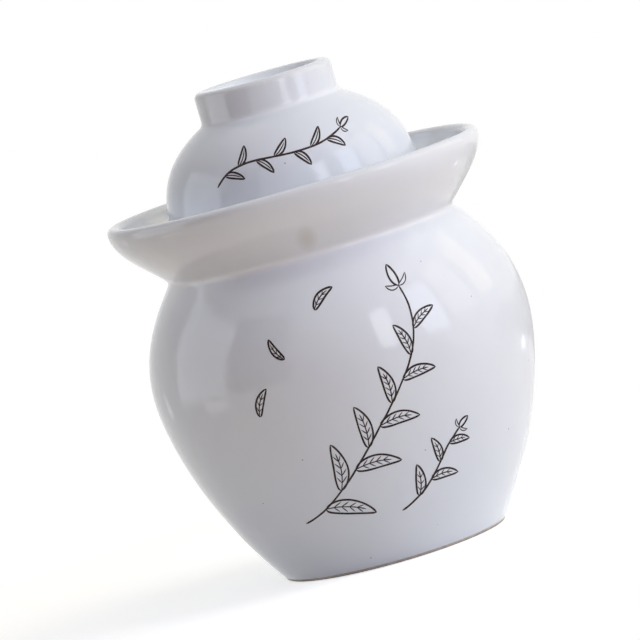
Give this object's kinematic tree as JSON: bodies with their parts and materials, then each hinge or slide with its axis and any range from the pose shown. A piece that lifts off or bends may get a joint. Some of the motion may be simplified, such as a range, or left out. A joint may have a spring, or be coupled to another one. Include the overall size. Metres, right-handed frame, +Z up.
{
  "type": "water seal pickle jar",
  "caption": "Glazed stoneware pickle jar: a round belly, a flared water moat round the mouth, a bowl-shaped lid that stands in the moat, and an inner lid on the collar.",
  "frame": {"origin": "centre of the foot, on the surface that the jar stands on", "axes": "+Z is up along the jar's axis of turning, and -Y is the side with the drawing, towards the viewer"},
  "size_m": [0.2046, 0.2046, 0.2603],
  "materials": {
    "jar_glaze": "glossy glaze",
    "lid_glaze": "glossy glaze",
    "inner_lid_glaze": "glossy glaze"
  },
  "bodies": {
    "jar": {"jar": "jar_glaze"},
    "lid": {"lid": "lid_glaze"},
    "inner_lid": {"inner_lid": "inner_lid_glaze"}
  },
  "joints": [
    {"name": "lid_lift", "type": "slide", "parent": "jar", "child": "lid", "axis": [0, 0, 1], "range_m": [0, 0.12]},
    {"name": "inner_lid_lift", "type": "slide", "parent": "jar", "child": "inner_lid", "axis": [0, 0, 1], "range_m": [0, 0.06]}
  ],
  "couplings": [
    {"joint": "inner_lid_lift", "follows": "lid_lift", "ratio": 0.5}
  ]
}
